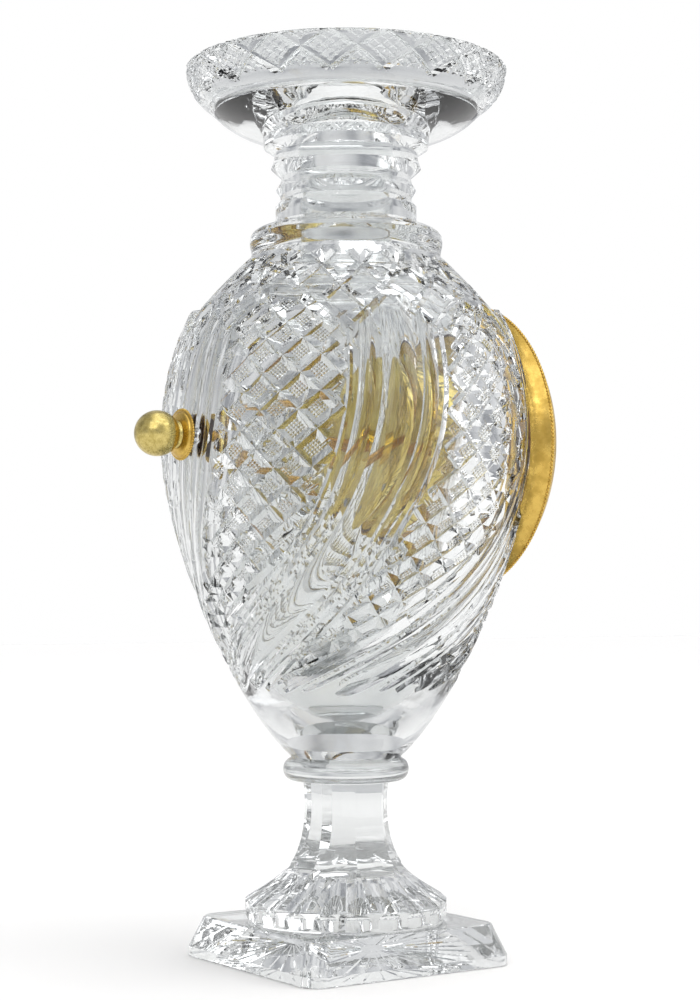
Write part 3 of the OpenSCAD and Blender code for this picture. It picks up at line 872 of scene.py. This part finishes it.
# %% Minute track: two fine circles and sixty marks
CIRCLE_PARTS = 120
for ring_r in (42.6, 46.2):
    for k in range(CIRCLE_PARTS):
        a, b = (2 * math.pi * j / CIRCLE_PARTS for j in (k, k + 1))
        slab(verts, faces, [(r * math.sin(t), r * math.cos(t)) for r, t in
                            ((ring_r, a), (ring_r, b), (ring_r + 0.22, b), (ring_r + 0.22, a))])
for minute in range(60):
    half = 0.75 if minute % 5 == 0 else 0.2
    mark = [(-half, -1.7), (half, -1.7), (half, 1.7), (-half, 1.7)]
    slab(verts, faces, turned(mark, math.radians(6 * minute), 44.5))
numerals = solid("dial_numerals", verts, faces)
print("dial print:", len(faces), "faces")

# %% [markdown]
# The hands are sawn from steel sheet, filed and blued over a flame. Each is a tapering stem with a
# pierced moon near the tip: a bar, a ring and a point, united into one thin plate.

# %% Hands
def plate(corners, low, high):
    """A plate between two depths over an outline in the dial's plane, in mm."""
    verts = [Vector((x, -d, CLOCK_Z + y)) * MM for d in (low, high) for x, y in corners]
    n = len(corners)
    faces = [tuple(range(n)), tuple(range(2 * n - 1, n - 1, -1))]
    faces += [(k, (k + 1) % n, n + (k + 1) % n, n + k) for k in range(n)]
    return solid("plate", verts, faces)


def hand(name, node, eye, moon, reach, angle):
    """A moon hand between its frame node's faces, turned anticlockwise by angle.

    eye is (radius, hole) at the arbor, and moon is (distance out, radius)."""
    (eye_r, eye_hole), (moon_at, moon_r) = eye, moon
    low_corner, high_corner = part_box(node)
    low, high = -high_corner.y / MM, -low_corner.y / MM
    made = lathe(name, [(eye_hole, low), (eye_r, low), (eye_r, high - 0.1), (eye_r - 0.2, high),
                        (eye_hole, high)], 64, clock=True, closed=True)
    stem = plate([(-1.5, eye_r - 1), (1.5, eye_r - 1), (0.8, moon_at - moon_r + 0.6),
                  (-0.8, moon_at - moon_r + 0.6)], low, high)
    tip = plate([(-1.7, moon_at + moon_r - 0.5), (1.7, moon_at + moon_r - 0.5), (0.22, reach),
                 (-0.22, reach)], low, high)
    ring = lathe("moon", [(moon_r - 1.0, low), (moon_r, low), (moon_r, high), (moon_r - 1.0, high)],
                 48, clock=True, closed=True)
    bpy.ops.object.mode_set(mode="EDIT")
    bpy.ops.mesh.select_all(action="SELECT")
    bpy.ops.transform.translate(value=(0, 0, moon_at * MM))
    bpy.ops.object.mode_set(mode="OBJECT")
    for part in (stem, tip, ring):
        carve(made, part, "UNION")
    if angle:
        turn = Matrix.Translation((0, 0, CLOCK_Z * MM)) @ Matrix.Rotation(angle, 4, (0, -1, 0))
        made.data.transform(turn @ Matrix.Translation((0, 0, -CLOCK_Z * MM)))
    return crease(made, 30)


HOUR_REACH = 31.0
MINUTE_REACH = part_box("minute_hand")[1].z / MM - CLOCK_Z
minute_hand = hand("minute_hand_blued", "minute_hand", (4.2, 1.2), (32.5, 3.1), MINUTE_REACH, 0)
hour_hand = hand("hour_hand_blued", "hour_hand", (4.4, 2.62), (21.0, 3.4), HOUR_REACH, math.radians(60))
print("hands:", [len(h.data.polygons) for h in (minute_hand, hour_hand)], "faces")

# %% [markdown]
# ## Finishes
#
# One function turns a hex colour into linear light, one makes an empty material, and one adds a
# node. Every pattern reads Object coordinates in metres, so a Scale is one over the pattern's size.

# %% Material helpers
def linear(code):
    """An sRGB hex colour as linear RGBA."""
    channels = [int(code[i:i + 2], 16) / 255 for i in (1, 3, 5)]
    return [c / 12.92 if c <= 0.04045 else ((c + 0.055) / 1.055) ** 2.4 for c in channels] + [1.0]


def per_metre(size_mm):
    """Texture scale for a pattern of this size."""
    return 1 / (size_mm * MM)


def add(tree, kind, settings=None, inputs=None):
    """Adds a node, sets its properties and its inputs; an input may be a socket to link."""
    node = tree.nodes.new(kind)
    for key, value in (settings or {}).items():
        setattr(node, key, value)
    for key, value in (inputs or {}).items():
        if isinstance(value, bpy.types.NodeSocket):
            tree.links.new(value, node.inputs[key])
        else:
            node.inputs[key].default_value = value
    return node


def material(name, values):
    """A new material, its tree, its Principled shader with plain values set, and its coordinates."""
    made = bpy.data.materials.new(name)
    made.use_nodes = True
    shader = made.node_tree.nodes["Principled BSDF"]
    for key, value in values.items():
        shader.inputs[key].default_value = value
    place = add(made.node_tree, "ShaderNodeTexCoord").outputs["Object"]
    return made, made.node_tree, shader, place


def pattern(place, size_mm, detail):
    """Inputs of a texture whose features are this many mm across."""
    return {"Vector": place, "Scale": per_metre(size_mm), "Detail": detail}


def span(value, low, high, to_low, to_high):
    """Inputs of a Map Range node."""
    return {"Value": value, "From Min": low, "From Max": high, "To Min": to_low, "To Max": to_high}


def feed(tree, shader, sockets):
    """Links outputs to the shader's inputs."""
    for key, socket in sockets.items():
        tree.links.new(socket, shader.inputs[key])


def ramp(tree, fac, stops):
    """A colour ramp over fac; stops are (position, hex colour or grey value)."""
    node = add(tree, "ShaderNodeValToRGB", inputs={"Fac": fac})
    while len(node.color_ramp.elements) < len(stops):
        node.color_ramp.elements.new(0.5)
    for element, (position, colour) in zip(node.color_ramp.elements, stops):
        element.position = position
        element.color = linear(colour) if isinstance(colour, str) else (colour, colour, colour, 1)
    return node.outputs["Color"]


# %% Lead crystal, wheel-cut and acid-polished
# Heavy glass with a high index and the faintest grey cast: bright edges, and strong bending of what
# is behind. Acid polish leaves a faint waviness, about 5 mm across, that breaks the reflections.
def lead_crystal():
    made, tree, shader, place = material("lead_crystal_cut_polished", {
        "Base Color": linear("#E7E9E9"), "IOR": 1.545, "Transmission Weight": 1.0, "Roughness": 0.0})
    wave = add(tree, "ShaderNodeTexNoise", inputs=pattern(place, 5, 1.0))
    bump = add(tree, "ShaderNodeBump", inputs={"Height": wave.outputs["Fac"], "Strength": 0.12,
                                               "Distance": 0.15 * MM})
    grain = add(tree, "ShaderNodeTexNoise", inputs=pattern(place, 9, 2.0))
    polish = add(tree, "ShaderNodeMapRange", inputs=span(grain.outputs["Fac"], 0.35, 0.7, 0.0, 0.03))
    feed(tree, shader, {"Normal": bump.outputs["Normal"], "Roughness": polish.outputs["Result"]})
    return made


# %% Clock glass, drawn sheet with a ground edge
def clock_pane():
    made, tree, shader, place = material("clock_glass_ground_edge", {
        "Base Color": linear("#F6FAF9"), "IOR": 1.5, "Transmission Weight": 1.0, "Roughness": 0.0})
    smear = add(tree, "ShaderNodeTexNoise", inputs=pattern(place, 14, 3.0))
    haze = add(tree, "ShaderNodeMapRange", inputs=span(smear.outputs["Fac"], 0.45, 0.75, 0.0, 0.02))
    feed(tree, shader, {"Roughness": haze.outputs["Result"]})
    return made


# %% Metals
# A gilded or turned metal shows a cloudy change of tone a few millimetres wide, where the gold is
# thinner or rubbed, and a finer grain from the brush or the lathe.
def metal(name, light, dark, roughness, cloud_mm, grain_mm, bump, turned_lines=False):
    made, tree, shader, place = material(name, {"Metallic": 1.0})
    cloud = add(tree, "ShaderNodeTexNoise", inputs={**pattern(place, cloud_mm, 4.0), "Roughness": 0.62})
    tone = ramp(tree, cloud.outputs["Fac"], [(0.32, dark), (0.62, light)])
    fine = add(tree, "ShaderNodeTexNoise", inputs=pattern(place, grain_mm, 2.0))
    height = fine.outputs["Fac"]
    if turned_lines:
        centred = add(tree, "ShaderNodeMapping", inputs={"Vector": place,
                                                         "Location": (0, 0, -CLOCK_Z * MM)})
        rings = add(tree, "ShaderNodeTexWave", {"wave_type": "RINGS", "rings_direction": "Y"},
                    {"Vector": centred.outputs["Vector"], "Scale": per_metre(grain_mm) / 20,
                     "Distortion": 0.4, "Detail": 2.0})
        height = rings.outputs["Fac"]
    low, high = roughness
    spread = add(tree, "ShaderNodeMapRange", inputs=span(cloud.outputs["Fac"], 0.3, 0.7, high, low))
    relief = add(tree, "ShaderNodeBump", inputs={"Height": height, "Strength": bump,
                                                 "Distance": 0.06 * MM})
    feed(tree, shader, {"Base Color": tone, "Roughness": spread.outputs["Result"],
                        "Normal": relief.outputs["Normal"]})
    return made


# %% Enamel, paint and leather
def enamel(name, light, dark, roughness):
    """Vitreous enamel: a glossy glaze with a slight unevenness of tone and level from the kiln."""
    made, tree, shader, place = material(name, {"IOR": 1.5, "Roughness": roughness, "Coat Weight": 0.6,
                                         "Coat Roughness": 0.03})
    kiln = add(tree, "ShaderNodeTexNoise", inputs=pattern(place, 12, 3.0))
    tone = ramp(tree, kiln.outputs["Fac"], [(0.35, dark), (0.65, light)])
    level = add(tree, "ShaderNodeBump", inputs={"Height": kiln.outputs["Fac"], "Strength": 0.12,
                                                "Distance": 0.2 * MM})
    feed(tree, shader, {"Base Color": tone, "Normal": level.outputs["Normal"]})
    return made


def tanned_leather():
    """Washer leather: a dull pebbled grain about half a millimetre wide."""
    made, tree, shader, place = material("leather_vegetable_tanned", {"Roughness": 0.72, "Sheen Weight": 0.2})
    pebble = add(tree, "ShaderNodeTexVoronoi", inputs={"Vector": place, "Scale": per_metre(0.6)})
    tone = ramp(tree, pebble.outputs["Distance"], [(0.1, "#7A5233"), (0.7, "#55371F")])
    grain = add(tree, "ShaderNodeBump", inputs={"Height": pebble.outputs["Distance"], "Strength": 0.5,
                                                "Distance": 0.1 * MM})
    feed(tree, shader, {"Base Color": tone, "Normal": grain.outputs["Normal"]})
    return made


# %% Make the finishes
crystal = lead_crystal()
sheet_glass = clock_pane()
gilt = metal("gilt_brass_satin", "#D2B05C", "#B59446", (0.2, 0.36), 5, 0.5, 0.3)
gilt_worn = metal("gilt_bronze_worn", "#CBB976", "#AC9A58", (0.2, 0.34), 1.6, 0.5, 0.35)
gilt_bright = metal("gilt_brass_polished", "#E8D37C", "#C6AA54", (0.06, 0.14), 12, 0.7, 0.06)
brass = metal("brass_turned_lacquered", "#CDA355", "#A9803A", (0.2, 0.32), 6, 0.4, 0.25, True)
steel = metal("steel_polished", "#B9BCC0", "#96999D", (0.14, 0.26), 5, 0.3, 0.15)
blued = metal("steel_flame_blued", "#20366E", "#15214A", (0.14, 0.24), 4, 0.4, 0.1)
copper = metal("copper_bare", "#C07D55", "#8D5536", (0.28, 0.42), 3, 0.3, 0.2)
white_enamel = enamel("enamel_white_vitreous", "#F3F1EA", "#EBE8DF", 0.14)
black_enamel = enamel("enamel_black_painted", "#14151A", "#0C0D10", 0.3)
leather = tanned_leather()
print("finishes:", len(bpy.data.materials))

# %% [markdown]
# ## Dressing the model
#
# Each new piece takes one finish and rides on a body of the frame, and the frame nodes that it
# replaces are hidden. The frame's other nodes keep their shape and take the finish of the record's material
# slot.

# %% New pieces
def dress(piece, finish, body, slot, *stands_for):
    piece.data.materials.clear()
    piece.data.materials.append(finish)
    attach(piece, body)
    if stands_for:
        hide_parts(*stands_for)


dress(bowl, crystal, "vase", "crystal", "bowl")
dress(merese, crystal, "vase", "crystal", "merese")
dress(foot, crystal, "vase", "crystal", "foot")
dress(bezel, gilt, "vase", "gilt_brass", "bezel")
dress(gasket, leather, "vase", "leather", "bezel_gasket")
dress(drum, gilt_bright, "vase", "gilt_brass", "movement_case")
dress(dial, white_enamel, "vase", "enamel", "dial")
dress(numerals, black_enamel, "vase", "enamel")
dress(grommet, brass, "vase", "brass")
dress(door, gilt, "door", "gilt_brass", "door_ring")
dress(pane, sheet_glass, "door", "clock_glass", "door_glass")
dress(minute_hand, blued, "minute_arbor", "blued_steel", "minute_hand")
dress(hour_hand, blued, "hour_pipe", "blued_steel", "hour_hand")
dress(washer, gilt, "rear_washer", "gilt_brass", "rosette_washer")
dress(ball, gilt_worn, "rear_ball", "gilt_brass", "ball_nut")

# %% Frame nodes
FINISH_OF = {"crystal": crystal, "gilt_brass": gilt, "brass": brass, "steel": steel,
             "blued_steel": blued, "copper": copper, "enamel": white_enamel, "leather": leather,
             "clock_glass": sheet_glass}
POLISHED = ("back_cover", "glass_retainer")
for part in frame["record"]["subparts"]:
    node = nodes[part["node"]]
    if node.hide_render:
        continue
    finish = gilt_bright if node.name in POLISHED else FINISH_OF[part["material_slot"]]
    node.data.materials.clear()
    node.data.materials.append(finish)
print("dressed nodes:", sum(not n.hide_render for n in nodes.values()))

# %% [markdown]
# ## Camera, light and floor
#
# The camera stands behind the clock and to its left, just under a metre away and level with the
# lower belly. The sky is what crystal shows, so it isn't even: pale panels with soft grey gaps
# give the cuts something to sparkle with. What the camera sees directly is plain white.

# %% Camera
bpy.ops.object.camera_add(location=(-0.7765, 0.5235, 0.1602))
camera = bpy.context.object
PITCH_UP = 0.0475
heading = Vector((0.8281 * math.cos(PITCH_UP), -0.5606 * math.cos(PITCH_UP), math.sin(PITCH_UP)))
camera.rotation_mode = "QUATERNION"
camera.rotation_quaternion = heading.to_track_quat("-Z", "Y")
camera.data.lens = 75.04
camera.data.sensor_width = 36.0
camera.data.clip_start = 0.05
camera.data.clip_end = 50.0
scene.camera = camera

# %% Sky
world = bpy.data.worlds.new("studio")
scene.world = world
world.use_nodes = True
tree = world.node_tree
tree.nodes.clear()
direction = add(tree, "ShaderNodeTexCoord").outputs["Generated"]
parts = add(tree, "ShaderNodeSeparateXYZ", inputs={"Vector": direction})
panels = add(tree, "ShaderNodeTexNoise", inputs={"Vector": direction, "Scale": 2.6, "Detail": 1.0})
tone = ramp(tree, panels.outputs["Fac"], [(0.36, "#9A9CA2"), (0.46, "#CFD0D3"), (0.62, "#EDEDEE")])
sky = add(tree, "ShaderNodeBackground", inputs={"Color": tone, "Strength": 1.0})
plain_white = add(tree, "ShaderNodeBackground", inputs={"Color": (1, 1, 1, 1), "Strength": 1.0})
seen = add(tree, "ShaderNodeLightPath").outputs["Is Camera Ray"]
mixed = add(tree, "ShaderNodeMixShader", inputs={0: seen, 1: sky.outputs[0], 2: plain_white.outputs[0]})
add(tree, "ShaderNodeOutputWorld", inputs={"Surface": mixed.outputs[0]})

# %% Soft boxes
def soft_box(name, at, size, watts):
    bpy.ops.object.light_add(type="AREA", location=at)
    lamp = bpy.context.object
    lamp.name = name
    lamp.data.size = size
    lamp.data.energy = watts
    aim = Vector((0, 0, 0.22)) - Vector(at)
    lamp.rotation_mode = "QUATERNION"
    lamp.rotation_quaternion = aim.to_track_quat("-Z", "Y")


soft_box("key", (-1.3, 1.5, 1.7), 1.6, 13)
soft_box("fill", (-1.9, -1.1, 1.0), 1.6, 8)
# A small lamp for the sharp glints, and a wide soft sun as the ceiling that evens out the floor.
soft_box("spark", (-0.9, 1.0, 0.9), 0.1, 0.35)
bpy.ops.object.light_add(type="SUN", rotation=(math.radians(12), math.radians(-16), 0))
ceiling = bpy.context.object
ceiling.name = "ceiling"
ceiling.data.energy = 1.45
ceiling.data.angle = math.radians(70)


# %% Floor
bpy.ops.mesh.primitive_plane_add(size=12, location=(0, 0, -0.0002))
floor = bpy.context.object
floor.name = "floor"
paper, tree, shader, place = material("paper_matt_white", {"Base Color": linear("#F9F8F6"), "Roughness": 0.9})
fibre = add(tree, "ShaderNodeTexNoise", inputs=pattern(place, 3, 3.0))
relief = add(tree, "ShaderNodeBump", inputs={"Height": fibre.outputs["Fac"], "Strength": 0.05,
                                             "Distance": 0.1 * MM})
feed(tree, shader, {"Normal": relief.outputs["Normal"]})
floor.data.materials.append(paper)

# %% Tone and light paths
scene.view_settings.view_transform = "Standard"
scene.view_settings.look = "None"
scene.cycles.max_bounces = 28
scene.cycles.transmission_bounces = 28
scene.cycles.glossy_bounces = 8
scene.cycles.transparent_max_bounces = 16
print("camera and light ready")
